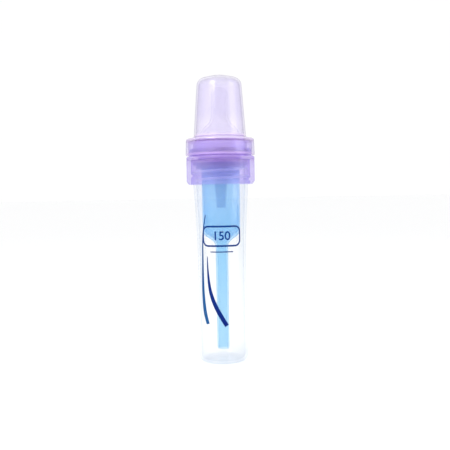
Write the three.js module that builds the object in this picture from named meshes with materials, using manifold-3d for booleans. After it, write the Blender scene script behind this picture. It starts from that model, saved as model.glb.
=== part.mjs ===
// A vented baby feeding bottle: a clear bottle with a screw neck, a vent made of an insert and a reservoir with
// a long air tube, a silicone nipple, a screw collar that clamps the nipple, and a travel cap over the nipple.
// Millimetres, +Z up. The origin is the centre of the base, and Z is the axis that every piece is round about.
import * as THREE from "three";
import { mergeVertices } from "three/addons/utils/BufferGeometryUtils.js";
import Module from "manifold-3d";

const wasm = await Module();
wasm.setup();

// ---- Driving dimensions ----

const CLEARANCE = 0.3; // between two pieces that touch when assembled
const FACETS = 36; // flat sides of a full turn
const CURVE_STEPS = 4; // straight runs of one curve of an outline
const SLIVER = 0.02; // edges shorter than this are closed up after a cut

const BOTTLE = {
  baseRadius: 15.2, // outer edge of the ring that it stands on
  baseRingWidth: 1.6,
  heel: 4.0, // radius between base and wall
  bodyRadius: 19.2,
  straightTop: 80, // the body flares from here up to the neck
  neckRadius: 21.7,
  neckBottom: 139,
  mouth: 154.6,
  bodyWall: 1.6,
  neckWall: 2.2,
  floor: 2.0,
  punt: 2.2, // how far the middle of the base is pushed in
};

const THREAD = {
  lead: 6.0,
  rootWidth: 2.6,
  crestWidth: 1.3,
  maleCrest: 23.0,
  femaleCrest: 22.2,
  maleStart: { angle: 200, height: 143.2, turns: 1.45 },
  femaleStart: { angle: 250, height: 141.6, turns: 1.2 },
  fade: 30, // degrees over which a ridge sinks to nothing at each end
  stepsPerTurn: 24,
};

const COLLAR = {
  bottom: 139.7,
  shoulder: 161.6, // top of the grip
  holeTop: 163.0, // top of the plate round the hole
  top: 167.6, // top of the boss
  radius: 27.2, // across the corners of the grip
  bore: 23.4,
  flats: 8,
  flatDistance: 25.7, // from the axis to the middle of a flat
  flatsTurn: -7, // degrees that the corners are turned away from the front
  shoulderRound: 1.5,
  underChamfer: { depth: 1.9, height: 2.4 },
  bossRadius: 24.4, // the ring that the travel cap goes over
  bossWall: 2.2,
  holeRadius: 16.8,
};

const INSERT = {
  ringRadius: 21.5,
  ringInner: 18.4,
  ringHeight: 1.9,
  lipDepth: 2.8, // how far its locating lip goes down inside the neck
  hubRadius: 15.3,
  plugRadius: 13.6,
  plugBottom: 150.2,
  funnelBottom: 142.2, // where the funnel under the plug runs out into the tube
  tubeTop: 5.1,
  tubeEnd: 3.75,
  tubeWall: 1.15,
  tubeBottom: 121.3,
  spokes: 4,
  spokeWidth: 3.4,
  duct: { width: 2.0, height: 0.9 },
};

const RESERVOIR = {
  rim: 153.4,
  radius: 15.1,
  wall: 1.15,
  cupBottom: 104,
  tubeTop: 90.5,
  tubeRadius: 4.9,
  tubeWall: 1.3,
  tubeBottom: 9.1,
};

const NIPPLE = {
  flangeRadius: 21.4,
  flangeInner: 18.3,
  tip: 216.1,
  holeRadius: 0.4,
};

const CAP = {
  bottom: 163.7,
  skirtRadius: 27.3,
  skirtTop: 175.4,
  domeBase: 20.7,
  domeShoulder: 17.75,
  domeCorner: 217.2,
  top: 224.8,
  discRadius: 6.4, // raised disc in the middle of the crown
  discHeight: 0.6,
  wall: 1.4,
  bead: 25.2, // inside of the skirt
};

// ---- Colours ----

const COLOURS = {
  clear: { color: 0xf4f8fb, roughness: 0.12, transparent: true, opacity: 0.35 },
  lilac: { color: 0xc8b2fa, roughness: 0.2, transparent: true, opacity: 0.7 },
  blue: { color: 0xa0d4fe, roughness: 0.25, transparent: true, opacity: 0.7 },
  silicone: { color: 0xe6e1ee, roughness: 0.45, transparent: true, opacity: 0.6 },
};

// ---- Tools ----

const radians = THREE.MathUtils.degToRad;

// A three.js geometry as a manifold-3d solid.
function toSolid(geometry) {
  const plain = new THREE.BufferGeometry();
  const loose = geometry.index ? geometry.toNonIndexed() : geometry;
  plain.setAttribute("position", loose.getAttribute("position"));
  const merged = mergeVertices(plain, 1e-4);
  const corners = [];
  for (let i = 0; i < merged.index.count; i += 3) {
    const [a, b, c] = [0, 1, 2].map((k) => merged.index.getX(i + k));
    if (a !== b && b !== c && c !== a) corners.push(a, b, c);
  }
  const mesh = new wasm.Mesh({
    numProp: 3,
    vertProperties: merged.attributes.position.array,
    triVerts: new Uint32Array(corners),
  });
  return new wasm.Manifold(mesh);
}

// A manifold-3d solid as a three.js geometry.
function toGeometry(solid) {
  const mesh = solid.simplify(SLIVER).getMesh();
  const geometry = new THREE.BufferGeometry();
  geometry.setAttribute("position", new THREE.BufferAttribute(mesh.vertProperties, 3));
  geometry.setIndex(new THREE.BufferAttribute(mesh.triVerts, 1));
  geometry.computeVertexNormals();
  return geometry;
}

// Turns an outline of (radius, height) about Z.
function revolve(outline, curveSteps = CURVE_STEPS) {
  const points = outline.getPoints(curveSteps);
  if (THREE.ShapeUtils.isClockWise(points)) points.reverse();
  return new THREE.LatheGeometry(points, FACETS).rotateX(Math.PI / 2);
}

// An upright prism between two heights.
function prism(radius, sides, bottom, top) {
  const height = top - bottom;
  const geometry = new THREE.CylinderGeometry(radius, radius, height, sides);
  return geometry.rotateX(Math.PI / 2).translate(0, 0, bottom + height / 2);
}

// A bar that lies along a radius, turned to an angle.
function radialBar(inner, outer, width, bottom, top, angle) {
  const bar = new THREE.BoxGeometry(outer - inner, width, top - bottom);
  bar.translate((inner + outer) / 2, 0, (bottom + top) / 2);
  return bar.rotateZ(radians(angle));
}

// A right-hand helical ridge with a trapezoid section, which sinks into its wall at both ends.
// root lies inside the wall, and crest is outside it on a screw or nearer the axis in a nut.
function threadRidge(root, crest, start) {
  const { lead, rootWidth, crestWidth, fade, stepsPerTurn } = THREAD;
  const steps = Math.round(start.turns * stepsPerTurn);
  const span = start.turns * 360;
  const positions = [];
  const faces = [];
  for (let i = 0; i <= steps; i++) {
    const along = (i / steps) * span;
    const full = Math.min(1, 0.12 + along / fade, 0.12 + (span - along) / fade);
    const reach = root + (crest - root) * full;
    const angle = radians(start.angle + along);
    const height = start.height + (lead * along) / 360;
    const section = [
      [root, -rootWidth / 2],
      [reach, -crestWidth / 2],
      [reach, crestWidth / 2],
      [root, rootWidth / 2],
    ];
    for (const [radius, rise] of section) {
      positions.push(radius * Math.cos(angle), radius * Math.sin(angle), height + rise);
    }
  }
  for (let i = 0; i < steps; i++) {
    for (let k = 0; k < 4; k++) {
      const [a, b] = [i * 4 + k, i * 4 + ((k + 1) % 4)];
      faces.push(a, a + 4, b, b, a + 4, b + 4);
    }
  }
  const last = steps * 4;
  faces.push(0, 1, 2, 0, 2, 3, last, last + 2, last + 1, last, last + 3, last + 2);
  if (crest < root) faces.reverse();
  const geometry = new THREE.BufferGeometry();
  geometry.setAttribute("position", new THREE.Float32BufferAttribute(positions, 3));
  geometry.setIndex(faces);
  return geometry;
}

function curve(path, ...points) {
  path.splineThru(points.map(([radius, height]) => new THREE.Vector2(radius, height)));
}

const assembly = new THREE.Group();

function addPiece(name, geometry, colour) {
  const mesh = new THREE.Mesh(geometry, new THREE.MeshStandardMaterial(COLOURS[colour]));
  mesh.name = name;
  assembly.add(mesh);
}

// ---- Bottle: blow-moulded body, pushed-in base, and a neck with one right-hand thread ----

function bottle() {
  const { baseRadius, baseRingWidth, heel, bodyRadius, straightTop, neckRadius, neckBottom, mouth } = BOTTLE;
  const { bodyWall, neckWall, floor, punt } = BOTTLE;
  const inside = bodyRadius - bodyWall;
  const neckInside = neckRadius - neckWall;
  const flare = neckBottom - straightTop;
  const innerHeel = heel - floor / 2;
  const edge = 0.7; // rounding of the mouth
  const ringInner = baseRadius - baseRingWidth;

  const outline = new THREE.Path();
  outline.moveTo(0, floor + punt);
  outline.quadraticCurveTo(ringInner * 0.65, floor + punt, inside - innerHeel, floor);
  outline.absarc(inside - innerHeel, floor + innerHeel, innerHeel, -Math.PI / 2, 0, false);
  outline.lineTo(inside, straightTop);
  outline.bezierCurveTo(inside, straightTop + 0.42 * flare, neckInside - 0.9, straightTop + 0.64 * flare,
    neckInside, neckBottom + 2);
  outline.lineTo(neckInside, mouth - edge);
  outline.lineTo(neckInside + edge, mouth);
  outline.lineTo(neckRadius - edge, mouth);
  outline.lineTo(neckRadius, mouth - edge);
  outline.lineTo(neckRadius, neckBottom);
  outline.bezierCurveTo(neckRadius - 1.3, straightTop + 0.64 * flare, bodyRadius, straightTop + 0.42 * flare,
    bodyRadius, straightTop);
  outline.lineTo(bodyRadius, heel);
  outline.absarc(baseRadius, heel, heel, 0, -Math.PI / 2, true);
  outline.lineTo(ringInner, 0);
  outline.quadraticCurveTo(ringInner * 0.65, punt, 0, punt);

  const wall = toSolid(revolve(outline));
  const ridge = toSolid(threadRidge(neckRadius - 0.4, THREAD.maleCrest, THREAD.maleStart));
  return toGeometry(wall.add(ridge));
}

// ---- Screw collar: grip with soft flats, boss for the cap, clamping plate and an inside thread ----

function collar() {
  const { bottom, shoulder, top, radius, bore, flats, flatDistance, flatsTurn } = COLLAR;
  const { shoulderRound, underChamfer, bossRadius, bossWall, holeRadius, holeTop } = COLLAR;
  const plate = BOTTLE.mouth + INSERT.ringHeight + 2.5; // underside that presses on the nipple
  const bossInside = bossRadius - bossWall;

  const outline = new THREE.Path();
  outline.moveTo(bore, bottom + 0.5);
  outline.lineTo(bore, plate);
  outline.lineTo(holeRadius + 1.8, plate);
  outline.lineTo(holeRadius, plate + 1.8);
  outline.lineTo(holeRadius, holeTop);
  outline.lineTo(holeRadius + 1.6, holeTop);
  outline.lineTo(bossInside - 0.8, shoulder);
  outline.lineTo(bossInside, shoulder + 0.6);
  outline.lineTo(bossInside, top);
  outline.lineTo(bossRadius - 0.5, top);
  outline.lineTo(bossRadius, top - 1.0);
  outline.lineTo(bossRadius + 0.4, top - 2.2); // snap bead
  outline.lineTo(bossRadius, top - 3.2);
  outline.lineTo(bossRadius, shoulder);
  outline.lineTo(radius - shoulderRound, shoulder);
  outline.absarc(radius - shoulderRound, shoulder - shoulderRound, shoulderRound, Math.PI / 2, 0, true);
  outline.lineTo(radius, bottom + underChamfer.height);
  outline.lineTo(radius - underChamfer.depth, bottom);
  outline.lineTo(bore + 0.5, bottom);
  outline.lineTo(bore, bottom + 0.5);

  const corner = flatDistance / Math.cos(Math.PI / flats);
  const grip = prism(corner, flats, bottom - 1, top + 1).rotateZ(radians(flatsTurn));
  const ridge = toSolid(threadRidge(bore + 0.4, THREAD.femaleCrest, THREAD.femaleStart));
  return toGeometry(toSolid(revolve(outline)).intersect(toSolid(grip)).add(ridge));
}

// ---- Vent insert: ring on the bottle's mouth, spokes with milk windows between them, hub and air tube ----

function ventInsert() {
  const { ringRadius, ringInner, ringHeight, lipDepth, hubRadius, plugRadius, plugBottom } = INSERT;
  const { funnelBottom, tubeTop, tubeEnd, tubeWall, tubeBottom, spokes, spokeWidth, duct } = INSERT;
  const seat = BOTTLE.mouth + CLEARANCE;
  const top = seat + ringHeight;
  const rest = RESERVOIR.rim + CLEARANCE; // where the hub sits on the reservoir
  const ductFloor = seat + 0.7;
  const roof = 0.9;

  const ring = new THREE.Path();
  ring.moveTo(ringInner, seat - lipDepth);
  ring.lineTo(ringInner, top);
  ring.lineTo(ringRadius, top);
  ring.lineTo(ringRadius, seat);
  ring.lineTo(BOTTLE.neckRadius - BOTTLE.neckWall - CLEARANCE, seat);
  ring.lineTo(BOTTLE.neckRadius - BOTTLE.neckWall - CLEARANCE, seat - lipDepth);
  ring.lineTo(ringInner, seat - lipDepth);

  const hub = new THREE.Path();
  hub.moveTo(0, top - roof);
  hub.lineTo(plugRadius - tubeWall, top - roof);
  hub.lineTo(plugRadius - tubeWall, plugBottom + 0.5);
  hub.lineTo(tubeTop - tubeWall, funnelBottom + 0.5);
  hub.lineTo(tubeEnd - tubeWall, tubeBottom);
  hub.lineTo(tubeEnd - 0.2, tubeBottom);
  hub.lineTo(tubeEnd, tubeBottom + 0.5);
  hub.lineTo(tubeTop, funnelBottom);
  hub.lineTo(plugRadius, plugBottom);
  hub.lineTo(plugRadius, rest);
  hub.lineTo(hubRadius, rest);
  hub.lineTo(hubRadius, top - 0.7);
  hub.lineTo(hubRadius - 0.7, top);
  hub.lineTo(0, top);

  let solid = toSolid(revolve(ring)).add(toSolid(revolve(hub)));
  for (let i = 0; i < spokes; i++) {
    const angle = 45 + (i * 360) / spokes;
    const width = i === 0 ? duct.width + 2.6 : spokeWidth;
    solid = solid.add(toSolid(radialBar(hubRadius - 1, ringInner + 1, width, seat - 0.4, top, angle)));
  }
  const air = radialBar(plugRadius - tubeWall - 0.5, ringRadius + 1, duct.width, ductFloor, ductFloor + duct.height, 45);
  return toGeometry(solid.subtract(toSolid(air)));
}

// ---- Vent reservoir: cup that hangs on the insert's plug, a funnel, and the air tube to the bottle's base ----

function ventReservoir() {
  const { rim, radius, wall, cupBottom, tubeTop, tubeRadius, tubeWall, tubeBottom } = RESERVOIR;
  const lower = radius - 0.3;
  const bore = tubeRadius - tubeWall;
  const beadHeight = 2.0;

  const outline = new THREE.Path();
  outline.moveTo(radius - wall, rim);
  outline.lineTo(radius + 0.3, rim);
  outline.lineTo(radius + 0.3, rim - beadHeight);
  outline.lineTo(radius, rim - beadHeight - 0.6);
  outline.lineTo(lower, cupBottom);
  outline.bezierCurveTo(lower, cupBottom - 7.5, tubeRadius + 0.7, cupBottom - 6.5, tubeRadius, tubeTop);
  outline.lineTo(tubeRadius - 0.1, tubeBottom + 1);
  outline.lineTo(tubeRadius - 0.7, tubeBottom);
  outline.lineTo(bore, tubeBottom);
  outline.lineTo(bore, tubeTop + 0.5);
  outline.bezierCurveTo(bore + 0.7, cupBottom - 4.6, lower - wall, cupBottom - 5.4, lower - wall, cupBottom + 1);
  outline.lineTo(radius - wall, rim);
  return toGeometry(toSolid(revolve(outline)));
}

// ---- Nipple: flange, groove that snaps into the collar, soft dome, teat and feeding hole ----

function nipple() {
  const { flangeRadius, flangeInner, tip, holeRadius } = NIPPLE;
  const under = BOTTLE.mouth + INSERT.ringHeight + 2 * CLEARANCE;
  const over = under + 1.6;
  const neck = COLLAR.holeRadius - CLEARANCE;
  const bead = COLLAR.holeTop + CLEARANCE;

  const outline = new THREE.Path();
  outline.moveTo(flangeInner, under);
  outline.lineTo(neck - 1.4, under + 3.4);
  outline.lineTo(neck - 1.4, bead);
  curve(outline, [16.0, 167.2], [15.5, 173.2], [14.0, 178.6], [11.2, 182.8], [7.9, 186.2], [5.4, 190.6],
    [4.8, 196.5]);
  curve(outline, [4.75, 202], [5.1, 207.5], [4.8, 211.2], [3.2, 213.6], [holeRadius, tip - 1.8]);
  outline.lineTo(holeRadius, tip);
  curve(outline, [2.4, tip - 0.25], [4.7, 214.6], [6.3, 212.2], [6.7, 208.2], [6.35, 202]);
  curve(outline, [6.5, 195.4], [7.3, 191], [9.4, 187.4], [12.6, 184.2], [15.6, 179.4], [17.0, 173.6],
    [17.6, 168], [neck + 1.2, bead + 1.6]);
  outline.lineTo(neck + 1.0, bead);
  outline.lineTo(neck, bead);
  outline.lineTo(neck, over + 1.9);
  outline.lineTo(neck + 1.9, over);
  outline.lineTo(flangeRadius - 0.2, over);
  outline.lineTo(flangeRadius, over - 0.9);
  outline.lineTo(flangeRadius - 0.2, under);
  outline.lineTo(flangeInner, under);
  return toGeometry(toSolid(revolve(outline, 1)));
}

// ---- Travel cap: tapered dome, sloping shoulder, skirt over the collar's boss, and an inner seat ring ----

function travelCap() {
  const { bottom, skirtRadius, skirtTop, domeBase, domeShoulder, domeCorner, wall, bead } = CAP;
  const { top, discRadius, discHeight } = CAP;
  const cornerX = 11.2;
  const crown = top - discHeight;
  const cornerZ = crown - 0.6;
  const ceiling = skirtTop - 1.8;
  const seat = { inner: 20.2, outer: 21.3, bottom: 162.5 }; // ring that sits on the collar

  const outline = new THREE.Path();
  outline.moveTo(0, crown - wall);
  outline.quadraticCurveTo(cornerX * 0.6, crown - wall, cornerX - 0.2, cornerZ - wall);
  outline.bezierCurveTo(domeShoulder - 3.4, cornerZ - wall - 0.4, domeShoulder - wall, domeCorner + 2.2,
    domeShoulder - wall, domeCorner - 0.6);
  outline.lineTo(domeBase - wall, skirtTop + 0.6);
  outline.lineTo(seat.inner, ceiling - 1.2);
  outline.lineTo(seat.inner, seat.bottom);
  outline.lineTo(seat.outer, seat.bottom);
  outline.lineTo(seat.outer, ceiling);
  outline.lineTo(bead - 0.9, ceiling);
  outline.lineTo(bead, ceiling - 1);
  outline.lineTo(bead + 0.1, bottom + 0.5);
  outline.lineTo(bead + 0.5, bottom);
  outline.lineTo(skirtRadius - 0.4, bottom);
  outline.lineTo(skirtRadius, bottom + 0.5);
  outline.lineTo(skirtRadius - 0.5, skirtTop - 1.4);
  outline.quadraticCurveTo(skirtRadius - 0.6, skirtTop - 0.3, skirtRadius - 1.8, skirtTop);
  outline.lineTo(domeBase + 1.4, skirtTop + 0.9);
  outline.quadraticCurveTo(domeBase + 0.1, skirtTop + 1.2, domeBase, skirtTop + 2.4);
  outline.lineTo(domeShoulder, domeCorner);
  outline.bezierCurveTo(domeShoulder - 0.3, domeCorner + 4.2, domeShoulder - 3, cornerZ - 0.3, cornerX, cornerZ);
  outline.lineTo(discRadius + discHeight, crown);
  outline.lineTo(discRadius, top);
  outline.lineTo(0, top);
  return toGeometry(toSolid(revolve(outline)));
}

addPiece("bottle", bottle(), "clear");
addPiece("vent_reservoir", ventReservoir(), "blue");
addPiece("vent_insert", ventInsert(), "blue");
addPiece("nipple", nipple(), "silicone");
addPiece("screw_collar", collar(), "lilac");
addPiece("travel_cap", travelCap(), "lilac");

export default assembly;
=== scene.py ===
"""The looks of a vented feeding bottle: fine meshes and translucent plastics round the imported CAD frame.

Sizes are in millimetres, apart from the camera's and the lights', and every mesh is made in metres. Every
piece is round about Z. Its widest radius and its lowest and highest points come from the CAD node that it
stands for, and most other sizes repeat the CAD's.
"""

import math

import bpy
from mathutils import Matrix, Vector


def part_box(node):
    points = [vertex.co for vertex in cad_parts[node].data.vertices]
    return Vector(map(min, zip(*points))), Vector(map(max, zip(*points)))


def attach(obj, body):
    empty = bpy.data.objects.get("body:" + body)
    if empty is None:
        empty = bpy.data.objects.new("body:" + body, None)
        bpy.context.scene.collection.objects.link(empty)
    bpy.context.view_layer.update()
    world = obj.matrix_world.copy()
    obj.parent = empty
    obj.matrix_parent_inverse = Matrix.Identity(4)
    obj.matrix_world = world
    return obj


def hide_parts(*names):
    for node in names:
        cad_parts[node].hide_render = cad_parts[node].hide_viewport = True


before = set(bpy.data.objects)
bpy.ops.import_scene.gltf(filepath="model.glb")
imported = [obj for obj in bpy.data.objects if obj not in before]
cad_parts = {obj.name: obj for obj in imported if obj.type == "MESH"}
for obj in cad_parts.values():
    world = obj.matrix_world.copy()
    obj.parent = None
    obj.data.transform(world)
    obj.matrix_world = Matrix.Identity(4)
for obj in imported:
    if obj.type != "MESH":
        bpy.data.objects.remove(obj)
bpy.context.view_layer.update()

MM = 0.001
TAU = 2 * math.pi
SIDES = 160  # flat sides of a full turn
CURVE_STEPS = 14
FILLET_STEPS = 4


# ---- Heights and radii of the CAD nodes ----


def node_size(node):
    """(widest radius, lowest height, highest height) of a CAD node, in millimetres."""
    low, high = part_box(node)
    return high.x / MM, low.z / MM, high.z / MM


THREAD_CREST, _, MOUTH = node_size("bottle")
RESERVOIR_RADIUS, TUBE_END, RESERVOIR_RIM = node_size("vent_reservoir")
INSERT_RADIUS, INSERT_END, INSERT_TOP = node_size("vent_insert")
FLANGE_RADIUS, FLANGE_BOTTOM, NIPPLE_TIP = node_size("nipple")
COLLAR_RADIUS, COLLAR_BOTTOM, COLLAR_TOP = node_size("screw_collar")
CAP_RADIUS, CAP_BOTTOM, CAP_TOP = node_size("travel_cap")

BODY_RADIUS = 19.2
BODY_WALL = 1.6
BODY_STRAIGHT_TOP = 80.0
NECK_RADIUS = 21.7
NECK_BOTTOM = 139.0
NECK_WALL = 2.2
FOOT_RADIUS = 15.2
HEEL = 4.0

LEAD = 6.0
THREAD_HALF_CREST = 0.62
THREAD_FLANK = 0.55
THREAD_FADE = math.radians(30)
BOTTLE_THREAD = {"start": math.radians(200), "height": 143.2, "turns": 1.45}
COLLAR_THREAD = {"start": math.radians(250), "height": 141.6, "turns": 1.2}
COLLAR_BORE = 23.4
COLLAR_CREST = 22.2
GRIP_FLATS = 8
GRIP_FLAT_DISTANCE = 25.7
GRIP_TURN = math.radians(-7)
COLLAR_HOLE_TOP = 163.0


# ---- Outlines: lists of (radius, height) ----


def bezier(start, first, second, end, steps=CURVE_STEPS):
    """Points of a cubic curve, without its start."""
    a, b, c, d = (Vector(p) for p in (start, first, second, end))
    points = []
    for i in range(1, steps + 1):
        t = i / steps
        u = 1 - t
        points.append(tuple(u**3 * a + 3 * u * u * t * b + 3 * u * t * t * c + t**3 * d))
    return points


def spline(knots, steps=8):
    """Points of a smooth curve through the knots."""
    ends = [knots[0], *knots, knots[-1]]
    points = [knots[0]]
    for p0, p1, p2, p3 in zip(ends, ends[1:], ends[2:], ends[3:]):
        a, b, c, d = (Vector(p) for p in (p0, p1, p2, p3))
        for i in range(1, steps + 1):
            t = i / steps
            point = 2 * b + t * (c - a) + t * t * (2 * a - 5 * b + 4 * c - d) + t**3 * (3 * b - a - 3 * c + d)
            points.append(tuple(point / 2))
    return points


def rounded(corners, steps=FILLET_STEPS):
    """Points of a polyline whose corners are (radius, height, fillet)."""
    points = []
    for i, (radius, height, fillet) in enumerate(corners):
        here = Vector((radius, height))
        if fillet == 0 or i in (0, len(corners) - 1):
            points.append(tuple(here))
            continue
        before = Vector(corners[i - 1][:2]) - here
        after = Vector(corners[i + 1][:2]) - here
        half = before.angle(after) / 2
        reach = min(fillet / math.tan(half), 0.48 * before.length, 0.48 * after.length)
        start = here + before.normalized() * reach
        end = here + after.normalized() * reach
        for k in range(steps + 1):
            t = k / steps
            points.append(tuple((1 - t) ** 2 * start + 2 * t * (1 - t) * here + t * t * end))
    return points


def refined(points, low, high, step):
    """The same outline, with its stretches between two heights cut into short steps."""
    fine = [points[0]]
    for start, end in zip(points, points[1:]):
        a, b = Vector(start), Vector(end)
        inside = low < (a.y + b.y) / 2 < high
        pieces = max(1, math.ceil((b - a).length / step)) if inside else 1
        fine += [tuple(a.lerp(b, k / pieces)) for k in range(1, pieces + 1)]
    return fine


# ---- Meshes ----


def add_mesh(name, vertices, faces):
    mesh = bpy.data.meshes.new(name)
    mesh.from_pydata([tuple(c * MM for c in v) for v in vertices], [], faces)
    mesh.validate()
    mesh.shade_smooth()
    piece = bpy.data.objects.new(name, mesh)
    bpy.context.scene.collection.objects.link(piece)
    return piece


def lathe(name, outline, shape=None, sides=SIDES):
    """A closed mesh turned about Z. shape(radius, height, angle) may change a vertex's radius."""
    vertices, rings = [], []
    on_axis = outline[0][0] == 0 and outline[-1][0] == 0
    for radius, height in outline:
        if radius == 0:
            rings.append([len(vertices)])
            vertices.append((0, 0, height))
            continue
        rings.append(list(range(len(vertices), len(vertices) + sides)))
        for k in range(sides):
            angle = TAU * k / sides
            reach = shape(radius, height, angle) if shape else radius
            vertices.append((reach * math.cos(angle), reach * math.sin(angle), height))
    faces = []
    pairs = list(zip(rings, rings[1:]))
    if not on_axis:
        pairs.append((rings[-1], rings[0]))
    for low, high in pairs:
        for k in range(sides):
            n = (k + 1) % sides
            if len(low) == 1:
                faces.append((low[0], high[n], high[k]))
            elif len(high) == 1:
                faces.append((low[k], low[n], high[0]))
            else:
                faces.append((low[k], low[n], high[n], high[k]))
    piece = add_mesh(name, vertices, faces)
    face_outwards(piece)
    return piece


def face_outwards(piece):
    """Turns the faces of a closed mesh so that they point out."""
    volume = 0
    for polygon in piece.data.polygons:
        a, b, c = (piece.data.vertices[i].co for i in polygon.vertices[:3])
        volume += a.dot(b.cross(c))
        if len(polygon.vertices) == 4:
            d = piece.data.vertices[polygon.vertices[3]].co
            volume += a.dot(c.cross(d))
    if volume < 0:
        piece.data.flip_normals()


def cut(piece, *cutters):
    """Cuts closed meshes out of a piece and removes them."""
    for cutter in cutters:
        modifier = piece.modifiers.new("cut", "BOOLEAN")
        modifier.operation = "DIFFERENCE"
        modifier.solver = "EXACT"
        modifier.object = cutter
    bpy.context.view_layer.update()
    shaped = bpy.data.meshes.new_from_object(piece.evaluated_get(bpy.context.evaluated_depsgraph_get()))
    piece.modifiers.clear()
    piece.data = shaped
    for cutter in cutters:
        bpy.data.objects.remove(cutter)


def smoothstep(x):
    x = min(1, max(0, x))
    return x * x * (3 - 2 * x)


def ridge(thread, height, angle):
    """How much of its full height a helical ridge has at a place, from 0 to 1."""
    best = 0
    span = thread["turns"] * TAU
    first = (angle - thread["start"]) % TAU
    for turn in range(math.ceil(thread["turns"]) + 1):
        along = first + turn * TAU
        if along > span:
            break
        away = abs(height - thread["height"] - LEAD * along / TAU)
        full = min(1, along / THREAD_FADE, (span - along) / THREAD_FADE)
        best = max(best, smoothstep(full) * smoothstep(1 - (away - THREAD_HALF_CREST) / THREAD_FLANK))
    return best


# ---- Materials ----


class Nodes:
    """Builds a material's node tree with few words."""

    def __init__(self, name):
        self.material = bpy.data.materials.new(name)
        self.material.use_nodes = True
        self.tree = self.material.node_tree
        self.tree.nodes.clear()

    def add(self, kind, **inputs):
        """A node of a type. Keys with a capital are sockets, others are the node's own settings."""
        node = self.tree.nodes.new("ShaderNode" + kind)
        sockets = {key: value for key, value in inputs.items() if key[0].isupper()}
        for key, value in inputs.items():
            if key not in sockets:
                setattr(node, key, value)
        for key, value in sockets.items():
            self.connect(node.inputs[key.replace("_", " ")], value)
        return node

    def connect(self, socket, value):
        if isinstance(value, bpy.types.NodeSocket):
            self.tree.links.new(value, socket)
        elif isinstance(value, bpy.types.Node):
            self.tree.links.new(value.outputs[0], socket)
        elif isinstance(value, (tuple, list)) and len(value) == 3 and socket.type == "RGBA":
            socket.default_value = (*value, 1)
        else:
            socket.default_value = value

    def math(self, operation, *values):
        node = self.tree.nodes.new("ShaderNodeMath")
        node.operation = operation
        for socket, value in zip(node.inputs, values):
            self.connect(socket, value)
        return node.outputs[0]

    def span(self, value, low, high, to_low, to_high):
        """A value moved from one range to another and kept inside it."""
        node = self.tree.nodes.new("ShaderNodeMapRange")
        for socket, number in zip(node.inputs, (value, low, high, to_low, to_high)):
            self.connect(socket, number)
        return node.outputs[0]

    def blend(self, share, first, second):
        """A colour between two."""
        node = self.tree.nodes.new("ShaderNodeMix")
        node.data_type = "RGBA"
        for index, value in ((0, share), (6, first), (7, second)):
            self.connect(node.inputs[index], value)
        return node.outputs[2]

    def mix(self, share, first, second):
        """A shader between two."""
        node = self.tree.nodes.new("ShaderNodeMixShader")
        for socket, value in zip(node.inputs, (share, first, second)):
            self.connect(socket, value)
        return node.outputs[0]

    def ramp(self, value, places, colours):
        """(colour, alpha) that pass through a colour at each place."""
        node = self.tree.nodes.new("ShaderNodeValToRGB")
        low, high = places[0], places[-1]
        self.connect(node.inputs["Fac"], self.span(value, low, high, 0, 1))
        stops = node.color_ramp.elements
        for place in places[1:-1]:
            stops.new((place - low) / (high - low))
        for stop, colour in zip(stops, colours):
            stop.color = colour
        return node.outputs["Color"], node.outputs["Alpha"]

    def noise(self, place, scale, detail=3.0):
        return self.add("TexNoise", Vector=place, Scale=scale, Detail=detail).outputs["Fac"]

    def finish(self, surface):
        output = self.tree.nodes.new("ShaderNodeOutputMaterial")
        self.tree.links.new(surface, output.inputs["Surface"])
        return self.material


def linear(red, green, blue):
    """An sRGB colour of 0 to 255 as linear light."""
    return tuple(((c / 255 + 0.055) / 1.055) ** 2.4 if c > 10 else c / 3294.6 for c in (red, green, blue))


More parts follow.
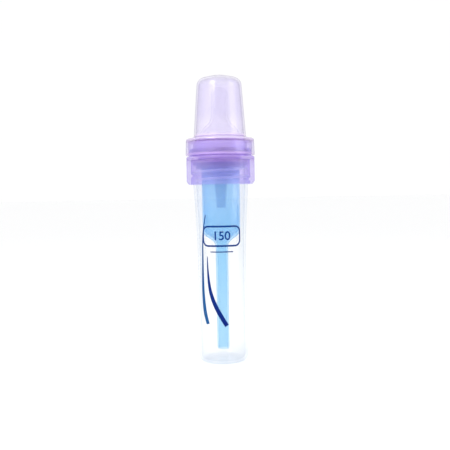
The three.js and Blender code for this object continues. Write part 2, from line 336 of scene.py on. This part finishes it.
def shell(name, levels, edge_tint, edge_cover, edge_power=3.0, roughness=0.12, gloss=0.6, crest=None):
    """A thin translucent moulding.

    levels is a list of (height, tint, middle, body, cover) from the bottom up: tint is what one surface lets
    through, middle the same where it is met square on, body the colour that it scatters, and cover how much
    of it. A middle darker than tint paints shade on the middle of a piece, where it faces the camera.
    edge_tint and edge_cover stand for its silhouette, where light crosses more plastic. crest is (low radius,
    high radius, height, cover) for plastic that is thick beyond a radius and above a height.
    """
    n = Nodes(name)
    place = n.add("TexCoord").outputs["Object"]
    flow = n.noise(n.add("Mapping", Vector=place, Scale=(1, 1, 0.25)), 55, 2.0)
    grain = n.noise(place, 1400, 2.0)
    facing = n.add("LayerWeight", Blend=0.5).outputs["Facing"]
    rim = n.math("POWER", facing, edge_power)
    height = n.add("SeparateXYZ", Vector=place).outputs["Z"]
    heights = [level[0] * MM for level in levels]
    tint, cover = n.ramp(height, heights, [(*level[1], level[4]) for level in levels])
    middle, _ = n.ramp(height, heights, [(*level[2], 1) for level in levels])
    body, _ = n.ramp(height, heights, [(*level[3], 1) for level in levels])
    share = n.math("ADD", cover, n.math("MULTIPLY", rim, n.math("SUBTRACT", edge_cover, cover)))
    square_on, turned_away = 0.03, 0.12
    # Where middle is darker than tint, this paints shade on the middle of a piece that faces the camera.
    through = n.blend(rim, n.blend(n.span(facing, square_on, turned_away, 1, 0), tint, middle), edge_tint)
    if crest:
        low, high, start, more = crest
        fade = 0.4
        across = n.add("VectorMath", operation="MULTIPLY", Vector=place)
        across.inputs[1].default_value = (1, 1, 0)
        radius = n.add("VectorMath", operation="LENGTH", Vector=across.outputs[0]).outputs["Value"]
        above = n.span(height, start * MM, (start + fade) * MM, 0, more)
        share = n.math("ADD", share, n.math("MULTIPLY", above, n.span(radius, low * MM, high * MM, 0, 1)))
    share = n.math("MULTIPLY", share, n.span(flow, 0.3, 0.7, 0.86, 1.14))
    darker = n.blend(0.07, body, (0, 0, 0))
    colour = n.blend(n.span(flow, 0.35, 0.65, 0, 1), darker, body)
    rough = n.span(grain, 0.3, 0.7, roughness * 0.8, roughness * 1.25)
    bump = n.add("Bump", Strength=0.06, Distance=0.00005, Height=grain)
    scatter = n.mix(
        0.5,
        n.add("BsdfPrincipled", Base_Color=colour, Roughness=rough, Normal=bump).outputs[0],
        n.add("BsdfTranslucent", Color=colour, Normal=bump).outputs[0],
    )
    clear = n.add("BsdfTransparent", Color=through).outputs[0]
    mirror = n.add("BsdfGlossy", Color=(1, 1, 1), Roughness=rough, Normal=bump).outputs[0]
    shine = n.math("MULTIPLY_ADD", n.math("POWER", facing, 5.0), gloss * 0.5, gloss * 0.05)
    return n.finish(n.mix(shine, n.mix(share, clear, scatter), mirror))


def ink(name, low_colour, high_colour):
    """A matt printing ink that changes colour from the print's foot to its head."""
    n = Nodes(name)
    place = n.add("TexCoord").outputs["Object"]
    height = n.add("SeparateXYZ", Vector=place).outputs["Z"]
    mottle = n.noise(place, 500)
    foot, head = 30 * MM, 118 * MM
    shade = n.math("ADD", n.span(height, foot, head, 0, 0.85), n.span(mottle, 0.3, 0.7, -0.12, 0.12))
    colour = n.blend(shade, low_colour, high_colour)
    rough = n.span(mottle, 0.3, 0.7, 0.3, 0.45)
    surface = n.add("BsdfPrincipled", Base_Color=colour, Roughness=rough, Specular_IOR_Level=0.08)
    return n.finish(surface.outputs[0])


def floor_material():
    n = Nodes("pale_floor")
    mottle = n.noise(n.add("TexCoord").outputs["Object"], 30)
    colour = n.blend(mottle, (0.95, 0.955, 0.962), (0.96, 0.965, 0.97))
    return n.finish(n.add("BsdfPrincipled", Base_Color=colour, Roughness=0.3).outputs[0])


def materials():
    clear_tint, haze = (0.982, 0.988, 0.992), (0.84, 0.9, 0.98)
    neck_tint, base_tint, grey_base_body = (0.968, 0.976, 0.992), (0.968, 0.972, 0.978), (0.84, 0.87, 0.91)
    clear = shell(
        "clear_polypropylene",
        [
            # Greyer and less clear at the bottom, fading to the clear wall by 16 mm.
            (0, base_tint, base_tint, grey_base_body, 0.05),
            (6, base_tint, base_tint, grey_base_body, 0.05),
            (16, clear_tint, clear_tint, haze, 0.012),
            (100, clear_tint, clear_tint, haze, 0.012),
            (124, neck_tint, neck_tint, haze, 0.03),
            (160, neck_tint, neck_tint, haze, 0.03),
        ],
        edge_tint=(0.88, 0.905, 0.945),
        edge_cover=0.2,
        roughness=0.05,
        gloss=0.8,
        crest=(21.9, 22.7, 130, 0.35),
    )
    pale_blue, deep_blue = linear(146, 208, 252), linear(128, 196, 250)
    reservoir = shell(
        "light_blue_polypropylene",
        [
            (0, (0.84, 0.945, 0.98), (0.84, 0.945, 0.98), pale_blue, 0.14),
            (40, (0.82, 0.94, 0.98), (0.82, 0.94, 0.98), pale_blue, 0.14),
            (86, (0.78, 0.93, 0.985), (0.78, 0.93, 0.985), pale_blue, 0.14),
            (97, (0.75, 0.915, 0.985), (0.75, 0.915, 0.985), deep_blue, 0.16),
            (112, (0.76, 0.92, 0.985), (0.76, 0.92, 0.985), deep_blue, 0.16),
            (130, (0.82, 0.935, 0.985), (0.82, 0.935, 0.985), pale_blue, 0.16),
            (155, (0.82, 0.93, 0.98), (0.82, 0.92, 0.97), pale_blue, 0.12),
        ],
        edge_tint=(0.66, 0.82, 0.93),
        edge_cover=0.5,
        roughness=0.2,
        gloss=0.4,
    )
    insert = shell(
        "vent_blue_polypropylene",
        [
            (120, (0.8, 0.9, 0.945), (0.79, 0.895, 0.94), linear(124, 174, 228), 0.12),
            (141, (0.8, 0.895, 0.945), (0.79, 0.885, 0.94), linear(124, 170, 226), 0.1),
            (148, (0.86, 0.89, 0.945), (0.83, 0.86, 0.925), linear(130, 150, 222), 0.06),
            (157, (0.88, 0.89, 0.945), (0.83, 0.85, 0.92), linear(130, 140, 220), 0.05),
        ],
        edge_tint=(0.7, 0.8, 0.9),
        edge_cover=0.3,
        roughness=0.2,
        gloss=0.4,
    )
    # Some of these colours paint light and shade on the cap: highlights on its rim, shoulder, low dome and
    # crown, and shade under the shoulder and in the skirt's middle.
    milky_lilac, rim_highlight_lilac = linear(212, 194, 255), linear(234, 208, 255)
    dome_lilac, shoulder_highlight_lilac, crown_highlight_lilac = linear(234, 227, 252), linear(252, 240, 255), linear(250, 246, 255)
    skirt, skirt_shaded_middle, shoulder_shade_tint = (0.969, 0.956, 0.998), (0.95, 0.925, 0.967), (0.77, 0.68, 0.84)
    shoulder_highlight_tint, low_dome_highlight_tint, dome = (0.97, 0.95, 0.99), (0.968, 0.955, 0.995), (0.945, 0.93, 0.991)
    # The first colour here is a painted highlight on the crown.
    crown, crown_rim = (0.985, 0.98, 1.0), (0.9, 0.895, 0.93)
    cap = shell(
        "lilac_cap",
        [
            # Painted highlight on the skirt's bottom rim: more of a bright lilac is scattered there.
            (163.7, skirt, skirt, rim_highlight_lilac, 0.4),
            (164.3, skirt, skirt, rim_highlight_lilac, 0.3),
            # Painted shade: the skirt lets less through where it faces the camera square on.
            (164.8, skirt, skirt_shaded_middle, milky_lilac, 0.18),
            (168.0, skirt, skirt_shaded_middle, milky_lilac, 0.18),
            (169.5, skirt, skirt_shaded_middle, milky_lilac, 0.25),
            (172.4, skirt, skirt_shaded_middle, milky_lilac, 0.25),
            # Painted shade: a dark line under the shoulder, and at 177.1 mm another between its two
            # highlights.
            (173.0, shoulder_shade_tint, shoulder_shade_tint, milky_lilac, 0.05),
            (174.2, shoulder_shade_tint, shoulder_shade_tint, milky_lilac, 0.05),
            # Painted highlight along the cap's shoulder: clearer plastic that scatters a near white lilac.
            (174.7, shoulder_highlight_tint, shoulder_highlight_tint, shoulder_highlight_lilac, 0.75),
            (176.6, shoulder_highlight_tint, shoulder_highlight_tint, shoulder_highlight_lilac, 0.6),
            (177.1, shoulder_shade_tint, shoulder_shade_tint, milky_lilac, 0.1),
            (177.6, shoulder_highlight_tint, shoulder_highlight_tint, shoulder_highlight_lilac, 0.5),
            (178.6, shoulder_highlight_tint, shoulder_highlight_tint, shoulder_highlight_lilac, 0.3),
            # Painted highlight: the low dome lets more through than the dome above it.
            (179.4, low_dome_highlight_tint, low_dome_highlight_tint, dome_lilac, 0.07),
            (188.0, low_dome_highlight_tint, low_dome_highlight_tint, dome_lilac, 0.06),
            (196.0, dome, dome, dome_lilac, 0.06),
            (219.0, dome, dome, dome_lilac, 0.06),
            # Painted highlight in a band just under the crown's top.
            (221.5, crown, crown, crown_highlight_lilac, 0.2),
            (223.4, crown, crown, crown_highlight_lilac, 0.2),
            (224.8, crown_rim, crown_rim, dome_lilac, 0.1),
        ],
        edge_tint=(0.66, 0.65, 0.71),
        edge_cover=0.15,
        edge_power=3.4,
        roughness=0.14,
    )
    collar = shell(
        "lilac_collar",
        [
            # Where middle is darker than tint, the collar's middle gets painted shade.
            (139.7, (0.93, 0.9, 0.98), (0.9, 0.9, 0.975), linear(212, 208, 252), 0.1),
            (144.5, (0.92, 0.87, 0.97), (0.84, 0.81, 0.95), linear(212, 202, 250), 0.1),
            (152.0, (0.95, 0.91, 0.985), (0.81, 0.78, 0.945), linear(212, 198, 250), 0.1),
            (156.0, (0.92, 0.87, 0.97), (0.79, 0.71, 0.91), linear(200, 178, 240), 0.12),
            (158.8, (0.9, 0.83, 0.95), (0.75, 0.62, 0.86), linear(176, 148, 220), 0.16),
            (159.3, (0.96, 0.89, 0.98), (0.74, 0.6, 0.85), linear(164, 136, 212), 0.2),
            (160.6, (0.97, 0.92, 0.99), (0.84, 0.73, 0.91), linear(206, 178, 240), 0.25),
            (161.7, (0.97, 0.92, 0.99), (0.88, 0.8, 0.93), linear(206, 178, 240), 0.25),
            (162.3, (0.92, 0.88, 0.95), (0.88, 0.8, 0.93), linear(206, 178, 240), 0.15),
            (163.4, (0.92, 0.88, 0.95), (0.88, 0.8, 0.93), linear(206, 178, 240), 0.15),
            (163.9, (0.8, 0.76, 0.84), (0.66, 0.56, 0.72), linear(190, 165, 235), 0.04),
            (167.6, (0.8, 0.76, 0.84), (0.66, 0.56, 0.72), linear(190, 165, 235), 0.04),
        ],
        edge_tint=(0.66, 0.62, 0.95),
        edge_cover=0.15,
        edge_power=2.0,
        roughness=0.14,
        crest=(25.0, 25.4, 158.7, 0.28),
    )
    rubber, rubber_body = (0.98, 0.978, 0.987), (0.8, 0.79, 0.85)
    # Painted highlight on the teat's flare: between 174 and 186 mm it lets more through and scatters a whiter
    # colour.
    flare, flare_highlight_body = (0.997, 0.995, 1.0), (1.0, 0.98, 1.0)
    silicone = shell(
        "silicone",
        [
            (155, rubber, rubber, rubber_body, 0.04),
            (170, rubber, rubber, rubber_body, 0.04),
            (174, flare, flare, flare_highlight_body, 0.14),
            (186, flare, flare, flare_highlight_body, 0.14),
            (192, rubber, rubber, rubber_body, 0.04),
            (216, rubber, rubber, rubber_body, 0.04),
        ],
        edge_tint=(0.93, 0.925, 0.95),
        edge_cover=0.1,
        roughness=0.35,
        gloss=0.3,
    )
    navy = ink("navy_ink", linear(4, 32, 112), linear(12, 56, 118))
    mid_blue = ink("blue_ink", linear(24, 84, 140), linear(14, 60, 118))
    return {
        "clear": clear, "reservoir": reservoir, "insert": insert, "cap": cap, "collar": collar,
        "silicone": silicone, "navy": navy, "mid_blue": mid_blue,
    }


# ---- Pieces ----


def bottle_outside():
    """The outer wall from the foot up to the mouth."""
    flare = NECK_BOTTOM - BODY_STRAIGHT_TOP
    heel = [
        (FOOT_RADIUS + HEEL * math.sin(a), HEEL - HEEL * math.cos(a))
        for a in (math.pi / 2 * k / 10 for k in range(11))
    ]
    wall = bezier(
        (BODY_RADIUS, BODY_STRAIGHT_TOP),
        (BODY_RADIUS, BODY_STRAIGHT_TOP + 0.42 * flare),
        (NECK_RADIUS - 1.3, BODY_STRAIGHT_TOP + 0.64 * flare),
        (NECK_RADIUS, NECK_BOTTOM),
        28,
    )
    return [*heel, (BODY_RADIUS, BODY_STRAIGHT_TOP / 2), (BODY_RADIUS, BODY_STRAIGHT_TOP), *wall]


def make_bottle():
    flare = NECK_BOTTOM - BODY_STRAIGHT_TOP
    inside = BODY_RADIUS - BODY_WALL
    neck_inside = NECK_RADIUS - NECK_WALL
    punt, floor, ring = 2.2, 2.0, 1.6
    inner_heel = HEEL - floor / 2
    under = bezier((0, punt), (6, punt), (FOOT_RADIUS - ring - 4, 0.4), (FOOT_RADIUS - ring, 0))
    lip = MOUTH - 3
    mouth = rounded(
        [(NECK_RADIUS, lip, 0), (NECK_RADIUS, MOUTH, 0.7), (neck_inside, MOUTH, 0.7), (neck_inside, lip, 0)]
    )
    down = bezier(
        (neck_inside, NECK_BOTTOM + 2),
        (neck_inside - 0.9, BODY_STRAIGHT_TOP + 0.64 * flare),
        (inside, BODY_STRAIGHT_TOP + 0.42 * flare),
        (inside, BODY_STRAIGHT_TOP),
        28,
    )
    heel = [
        (inside - inner_heel + inner_heel * math.cos(a), floor + inner_heel - inner_heel * math.sin(a))
        for a in (math.pi / 2 * k / 8 for k in range(9))
    ]
    floor_top = bezier(heel[-1], (10, floor + 0.6), (5, floor + punt), (0, floor + punt))
    outline = [
        (0, punt), *under, *bottle_outside(), *mouth, (neck_inside, NECK_BOTTOM + 2), *down,
        *heel, *floor_top,
    ]
    outline = refined(outline, NECK_BOTTOM + 1, MOUTH - 2.5, 0.3)
    crest = THREAD_CREST - NECK_RADIUS

    def thread(radius, height, angle):
        if radius < NECK_RADIUS - 0.01 or height < NECK_BOTTOM:
            return radius
        return radius + crest * ridge(BOTTLE_THREAD, height, angle)

    return lathe("bottle_body", outline, thread)


def make_reservoir():
    radius, wall, bead, lip = RESERVOIR_RADIUS - 0.3, 1.15, 2.0, 0.3
    lower, cup_bottom, tube_top, tube, tube_wall = radius - 0.3, 104.0, 90.5, 4.9, 1.3
    bore = tube - tube_wall
    top = rounded(
        [
            (radius - wall, RESERVOIR_RIM - 1.5, 0),
            (radius - wall, RESERVOIR_RIM, 0.35),
            (radius + lip, RESERVOIR_RIM, 0.35),
            (radius + lip, RESERVOIR_RIM - bead, 0.2),
            (radius, RESERVOIR_RIM - bead - 0.6, 0.2),
            (lower, cup_bottom, 0),
        ]
    )
    funnel = bezier(
        (lower, cup_bottom), (lower, cup_bottom - 7.5), (tube + 0.7, cup_bottom - 6.5), (tube, tube_top), 20
    )
    end = rounded(
        [
            (tube, tube_top - 1, 0),
            (tube - 0.1, TUBE_END + 1.2, 0.6),
            (tube - 0.7, TUBE_END, 0.3),
            (bore, TUBE_END, 0.3),
            (bore, tube_top + 0.5, 0),
        ]
    )
    inner = bezier(
        (bore, tube_top + 0.5), (bore + 0.7, cup_bottom - 4.6), (lower - wall, cup_bottom - 5.4),
        (lower - wall, cup_bottom + 1), 20,
    )
    return lathe("vent_cup_and_tube", [*top, *funnel, *end, *inner])


def sector(name, inner, outer, low, high, start, end, steps=14):
    """A closed block between two radii, heights and angles."""
    vertices = []
    for i in range(steps + 1):
        angle = start + (end - start) * i / steps
        for radius, height in ((inner, low), (outer, low), (outer, high), (inner, high)):
            vertices.append((radius * math.cos(angle), radius * math.sin(angle), height))
    faces = [(0, 1, 2, 3), tuple(steps * 4 + k for k in (3, 2, 1, 0))]
    for i in range(steps):
        for k in range(4):
            a, b = i * 4 + k, i * 4 + (k + 1) % 4
            faces.append((a, a + 4, b + 4, b))
    piece = add_mesh(name, vertices, faces)
    face_outwards(piece)
    return piece


def make_insert():
    seat, top = MOUTH + 0.3, INSERT_TOP
    window_outer, hub, plug, wall, roof = 18.4, 15.3, 13.6, 1.15, 0.9
    plug_bottom, funnel_bottom, tube_top, tube_end = 150.2, 142.2, 5.1, 3.75
    lip = NECK_RADIUS - NECK_WALL - 0.3
    rest = RESERVOIR_RIM + 0.3
    outline = rounded(
        [
            (0, top - roof, 0),
            (plug - wall, top - roof, 0.5),
            (plug - wall, plug_bottom + 0.5, 1.5),
            (tube_top - wall, funnel_bottom + 0.5, 2.5),
            (tube_end - wall, INSERT_END, 0.1),
            (tube_end - 0.1, INSERT_END, 0.3),
            (tube_top, funnel_bottom, 2.5),
            (plug, plug_bottom, 1.2),
            (plug, rest, 0.2),
            (hub, rest, 0.3),
            (hub, seat + 0.1, 0.3),
            (window_outer, seat + 0.1, 0.2),
            (window_outer, seat - 2.8, 0.2),
            (lip, seat - 2.8, 0.3),
            (lip, seat, 0.2),
            (INSERT_RADIUS, seat, 0.3),
            (INSERT_RADIUS, top, 0.5),
            (0, top, 0),
        ]
    )
    piece = lathe("vent_insert_body", outline)
    spoke = math.radians(6.5)
    windows = []
    for k in range(4):
        start = math.radians(45 + 90 * k) + spoke
        end = start + TAU / 4 - 2 * spoke
        windows.append(sector(f"window_{k}", hub + 0.05, window_outer - 0.05, seat - 1, top + 1, start, end))
    half = math.radians(2.9)
    duct = sector("duct", plug - wall - 0.5, INSERT_RADIUS + 1, seat + 0.7, seat + 1.5,
                  math.radians(45) - half, math.radians(45) + half, 2)
    cut(piece, *windows, duct)
    piece.data.shade_smooth()
    piece.data.set_sharp_from_angle(angle=math.radians(40))
    return piece


def make_nipple():
    under, hole = FLANGE_BOTTOM, 0.4
    over, neck, bead = under + 1.6, 16.5, COLLAR_HOLE_TOP + 0.3
    inner_neck = neck - 1.4
    inside = spline(
        [
            (inner_neck, bead), (16.0, 167.2), (15.5, 173.2), (14.0, 178.6), (11.2, 182.8), (7.9, 186.2),
            (5.4, 190.6), (4.8, 196.5), (4.75, 202), (5.1, 207.5), (4.8, 211.2), (3.2, 213.6),
            (hole, NIPPLE_TIP - 1.8),
        ]
    )
    outside = spline(
        [
            (hole, NIPPLE_TIP), (2.4, NIPPLE_TIP - 0.25), (4.7, 214.6), (6.3, 212.2), (6.7, 208.2),
            (6.35, 202), (6.5, 195.4), (7.3, 191), (9.4, 187.4), (12.6, 184.2), (15.6, 179.4),
            (17.0, 173.6), (17.6, 168),
            (neck + 1.2, bead + 1.6),
        ]
    )
    flange = rounded(
        [
            (neck + 1.2, bead + 1.6, 0),
            (neck + 1.1, bead, 0.4),
            (neck, bead, 0.1),
            (neck, over + 1.9, 0.6),
            (neck + 1.9, over, 0.6),
            (FLANGE_RADIUS, over, 0.6),
            (FLANGE_RADIUS, under, 0.6),
            (18.3, under, 0.3),
            (inner_neck, under + 3.4, 1.0),
            (inner_neck, bead, 0),
        ]
    )
    return lathe("nipple_teat", [*inside, *outside, *flange[1:-1]])


def make_collar():
    shoulder, boss, boss_wall, hole = 161.6, 24.4, 2.2, 16.8
    plate = FLANGE_BOTTOM + 1.9
    boss_inside = boss - boss_wall
    chamfer_depth, chamfer_height = 1.9, 2.4
    middle = (COLLAR_BORE, 150, 0)
    outline = rounded(
        [
            middle,
            (COLLAR_BORE, plate, 0.8),
            (hole + 1.8, plate, 0.4),
            (hole, plate + 1.8, 0.5),
            (hole, COLLAR_HOLE_TOP, 0.4),
            (hole + 1.6, COLLAR_HOLE_TOP, 0.5),
            (boss_inside - 0.8, shoulder, 0.5),
            (boss_inside, shoulder + 0.6, 0.4),
            (boss_inside, COLLAR_TOP, 0.3),
            (boss - 0.2, COLLAR_TOP, 0.6),
            (boss + 0.4, COLLAR_TOP - 2.2, 0.6),
            (boss, COLLAR_TOP - 3.2, 0.4),
            (boss, shoulder, 0.4),
            (COLLAR_RADIUS, shoulder, 1.6),
            (COLLAR_RADIUS, COLLAR_BOTTOM + chamfer_height, 0.8),
            (COLLAR_RADIUS - chamfer_depth, COLLAR_BOTTOM, 0.5),
            (COLLAR_BORE, COLLAR_BOTTOM, 0.5),
            middle,
        ],
        6,
    )
    outline = refined(outline, COLLAR_BOTTOM + 0.8, COLLAR_BOTTOM + 14, 0.3)[:-1]
    flat_angle = TAU / GRIP_FLATS

    def grip_and_thread(radius, height, angle):
        if abs(radius - COLLAR_BORE) < 0.01:
            return radius - (COLLAR_BORE - COLLAR_CREST) * ridge(COLLAR_THREAD, height, angle)
        if radius < boss + 0.5 or height > shoulder + 0.01:
            return radius
        front = angle + math.pi / 2
        off = (front - GRIP_TURN) % flat_angle - flat_angle / 2
        flat = GRIP_FLAT_DISTANCE / math.cos(off)
        gap = flat - radius
        soft = 0.25
        return radius + gap / 2 - math.sqrt(gap * gap / 4 + soft * soft / 4) if gap < 2 else radius

    return lathe("collar_ring", outline, grip_and_thread, 2 * SIDES)


def make_cap():
    skirt_top, dome_base, dome_shoulder, dome_corner = 175.4, 20.7, 17.75, 217.2
    wall, bead, disc, disc_height = 1.4, 25.2, 6.4, 0.6
    corner_radius, crown = 11.2, CAP_TOP - disc_height
    corner_height = crown - 0.6
    ceiling = skirt_top - 1.8
    seat_inner, seat_outer, seat_bottom = 20.2, 21.3, 162.5
    inside_top = [(0, crown - wall), *bezier(
        (0, crown - wall), (4, crown - wall), (8, corner_height - wall + 0.2),
        (corner_radius - 0.2, corner_height - wall))]
    inside_corner = bezier(
        (corner_radius - 0.2, corner_height - wall),
        (dome_shoulder - 3.4, corner_height - wall - 0.5),
        (dome_shoulder - wall, dome_corner + 2.2),
        (dome_shoulder - wall, dome_corner - 0.6),
    )
    below = rounded(
        [
            (dome_shoulder - wall, dome_corner - 0.6, 0),
            (dome_base - wall, skirt_top + 0.6, 1.2),
            (seat_inner, ceiling - 1.2, 0.6),
            (seat_inner, seat_bottom, 0.25),
            (seat_outer, seat_bottom, 0.25),
            (seat_outer, ceiling, 0.3),
            (bead, ceiling, 0.8),
            (bead + 0.1, CAP_BOTTOM + 0.9, 0.3),
            (bead + 0.6, CAP_BOTTOM, 0.3),
            (CAP_RADIUS, CAP_BOTTOM, 0.6),
            (CAP_RADIUS - 0.5, skirt_top - 0.1, 1.3),
            (dome_base + 1.2, skirt_top + 0.9, 1.2),
            (dome_base - 0.05, skirt_top + 1.6, 1.0),
            (dome_shoulder, dome_corner, 0),
        ],
        7,
    )
    outside_corner = bezier(
        (dome_shoulder, dome_corner),
        (dome_shoulder - 0.3, dome_corner + 4.2),
        (dome_shoulder - 3, corner_height - 0.3),
        (corner_radius, corner_height),
    )
    crown_top = rounded(
        [
            (corner_radius, corner_height, 0),
            (disc + 1.2, crown, 0.8),
            (disc, CAP_TOP, 0.5),
            (3, CAP_TOP, 0),
            (0, CAP_TOP, 0),
        ]
    )
    return lathe("cap_shell", [*inside_top, *inside_corner, *below[1:], *outside_corner, *crown_top[1:]])


# ---- Print on the bottle: a panel with a number, a rule under it and two stripes ----

INK_GAP = 0.04  # between the wall and the ink, so that the two faces don't meet
INK_DEPTH = 0.05


def wall_radius(height):
    """The bottle's outer radius at a height."""
    wall = bottle_outside()
    for (r0, z0), (r1, z1) in zip(wall, wall[1:]):
        if z0 <= height <= z1:
            return r0 + (r1 - r0) * (height - z0) / (z1 - z0) if z1 > z0 else r1
    return BODY_RADIUS


def on_wall(across, height, out):
    """A place on the bottle's front: across is measured round the wall from the middle."""
    radius = wall_radius(height)
    angle = across / radius
    reach = radius + INK_GAP + out
    return (reach * math.sin(angle), -reach * math.cos(angle), height)


def ribbon(name, path, widths, closed=False):
    """A thin closed band of ink along a path of (across, height)."""
    count = len(path)
    vertices = []
    for i, point in enumerate(path):
        before = Vector(path[i - 1] if i or closed else path[0])
        after = Vector(path[(i + 1) % count] if i < count - 1 or closed else path[-1])
        along = (after - before).normalized()
        side = Vector((-along.y, along.x)) * widths[i] / 2
        here = Vector(point)
        for offset, out in ((side, 0), (-side, 0), (-side, INK_DEPTH), (side, INK_DEPTH)):
            place = here + offset
            vertices.append(on_wall(place.x, place.y, out))
    faces = []
    for i in range(count if closed else count - 1):
        n = (i + 1) % count
        for k in range(4):
            m = (k + 1) % 4
            faces.append((i * 4 + k, i * 4 + m, n * 4 + m, n * 4 + k))
    if not closed:
        faces += [(3, 2, 1, 0), tuple((count - 1) * 4 + k for k in range(4))]
    piece = add_mesh(name, vertices, faces)
    face_outwards(piece)
    return piece


def panel_path(half_width, low, high, corner, steps=8):
    """A rounded rectangle round the middle of the front."""
    path = []
    for sx, sz, start in ((1, 1, 0), (-1, 1, 90), (-1, -1, 180), (1, -1, 270)):
        cx, cz = sx * (half_width - corner), (high if sz > 0 else low) - sz * corner
        for k in range(steps + 1):
            a = math.radians(start + 90 * k / steps)
            path.append((cx + corner * math.cos(a), cz + corner * math.sin(a)))
    fine = []
    for a, b in zip(path, path[1:] + path[:1]):
        pieces = max(1, math.ceil((Vector(b) - Vector(a)).length / 1.0))
        fine += [tuple(Vector(a).lerp(Vector(b), k / pieces)) for k in range(pieces)]
    return fine


def number(name, text, height, size, bold):
    """A printed number in the middle of the front, wrapped on the wall."""
    curve = bpy.data.curves.new(name, "FONT")
    curve.body = text
    curve.size = size
    curve.align_x = "CENTER"
    curve.align_y = "CENTER"
    curve.extrude = INK_DEPTH / 2
    curve.offset = bold
    flat = bpy.data.objects.new(name, curve)
    bpy.context.scene.collection.objects.link(flat)
    bpy.context.view_layer.update()
    mesh = bpy.data.meshes.new_from_object(flat.evaluated_get(bpy.context.evaluated_depsgraph_get()))
    bpy.data.objects.remove(flat)
    for vertex in mesh.vertices:
        x, y, z = vertex.co
        vertex.co = Vector(on_wall(x, height + y, z + INK_DEPTH / 2)) * MM
    piece = bpy.data.objects.new(name, mesh)
    bpy.context.scene.collection.objects.link(piece)
    return piece


def stripe(name, knots):
    """A tapered stripe through knots of (across, height, width)."""
    path = spline([knot[:2] for knot in knots])
    widths = [width for _, width in spline([(0, knot[2]) for knot in knots])]
    return ribbon(name, path, widths)


def make_print():
    """(piece, ink) of everything that is printed on the bottle."""
    outline = panel_path(15.6, 92.2, 107.2, 4.5)
    rule = [(-9.0 + j, 87.6) for j in range(19)]
    return [
        (ribbon("volume_panel", outline, [1.35] * len(outline), closed=True), "navy"),
        (number("volume_number", "150", 99.7, 9.5, 0.12), "navy"),
        (ribbon("panel_rule", rule, [0.8] * len(rule)), "navy"),
        (stripe("side_stripe", [(-13.0, 116, 0.8), (-16.2, 100, 1.2), (-16.9, 80, 1.9), (-17.0, 58, 3.0),
                                (-15.4, 42, 3.6), (-12.3, 31.5, 3.0)]), "mid_blue"),
        (stripe("sweep_stripe", [(-11.9, 84, 0.6), (-11.4, 70, 1.8), (-9.6, 57, 2.8), (-5.1, 45, 3.3),
                                 (3.1, 30.5, 3.3)]), "navy"),
    ]


# ---- Scene ----


def aim(item, place, target, roll=0.0):
    look = (Vector(target) - Vector(place)).to_track_quat("-Z", "Y").to_matrix().to_4x4()
    item.matrix_world = Matrix.Translation(place) @ look @ Matrix.Rotation(roll, 4, "Z")


def add_camera():
    """The photo's view. The shift is small, so that the whole object also shows from other sides."""
    eye, look, roll = Vector((0.0043, -0.5394, 0.1343)), Vector((-0.0025, 1, -0.0367)), math.radians(-1.0)
    camera = bpy.data.cameras.new("camera")
    camera.sensor_width = 36
    camera.lens = 54.42
    camera.shift_y = -0.02
    item = bpy.data.objects.new("camera", camera)
    bpy.context.scene.collection.objects.link(item)
    aim(item, eye, eye + look, roll)
    bpy.context.scene.camera = item


def add_light(name, place, target, size, power, colour=(1, 1, 1)):
    light = bpy.data.lights.new(name, "AREA")
    light.shape = "RECTANGLE"
    light.size, light.size_y = size
    light.energy = power
    light.color = colour
    item = bpy.data.objects.new(name, light)
    bpy.context.scene.collection.objects.link(item)
    aim(item, Vector(place), Vector(target))


def add_studio():
    scene = bpy.context.scene
    scene.view_settings.view_transform = "Standard"
    scene.cycles.use_denoising = True
    scene.cycles.transparent_max_bounces = 48
    scene.cycles.max_bounces = 16
    world = bpy.data.worlds.new("studio")
    world.use_nodes = True
    background = world.node_tree.nodes["Background"]
    background.inputs["Color"].default_value = (1, 1, 1, 1)
    background.inputs["Strength"].default_value = 1.01
    scene.world = world
    middle = (0, 0, 0.12)
    add_light("key", (-0.5, -0.7, 0.75), middle, (0.5, 0.5), 6)
    add_light("fill", (0.8, -0.3, 0.35), middle, (0.5, 0.7), 2)
    reach = 12000
    corners = [(-reach, -reach, 0), (reach, -reach, 0), (reach, reach, 0), (-reach, reach, 0)]
    floor = add_mesh("floor", corners, [(0, 1, 2, 3)])
    floor.location.z = -0.0001  # just under the bottle's foot
    floor.data.materials.append(floor_material())


def place(piece, material, body, slot, node=None):
    piece.data.materials.clear()
    piece.data.materials.append(material)
    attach(piece, body)
    if node:
        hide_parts(node)


add_camera()
add_studio()
looks = materials()
place(make_bottle(), looks["clear"], "bottle", "clear_plastic", "bottle")
place(make_reservoir(), looks["reservoir"], "bottle", "blue_plastic", "vent_reservoir")
place(make_insert(), looks["insert"], "bottle", "blue_plastic", "vent_insert")
place(make_nipple(), looks["silicone"], "nipple", "silicone", "nipple")
place(make_collar(), looks["collar"], "collar", "lilac_plastic", "screw_collar")
place(make_cap(), looks["cap"], "travel_cap", "lilac_plastic", "travel_cap")
for printed, colour in make_print():
    place(printed, looks[colour], "bottle", "clear_plastic")
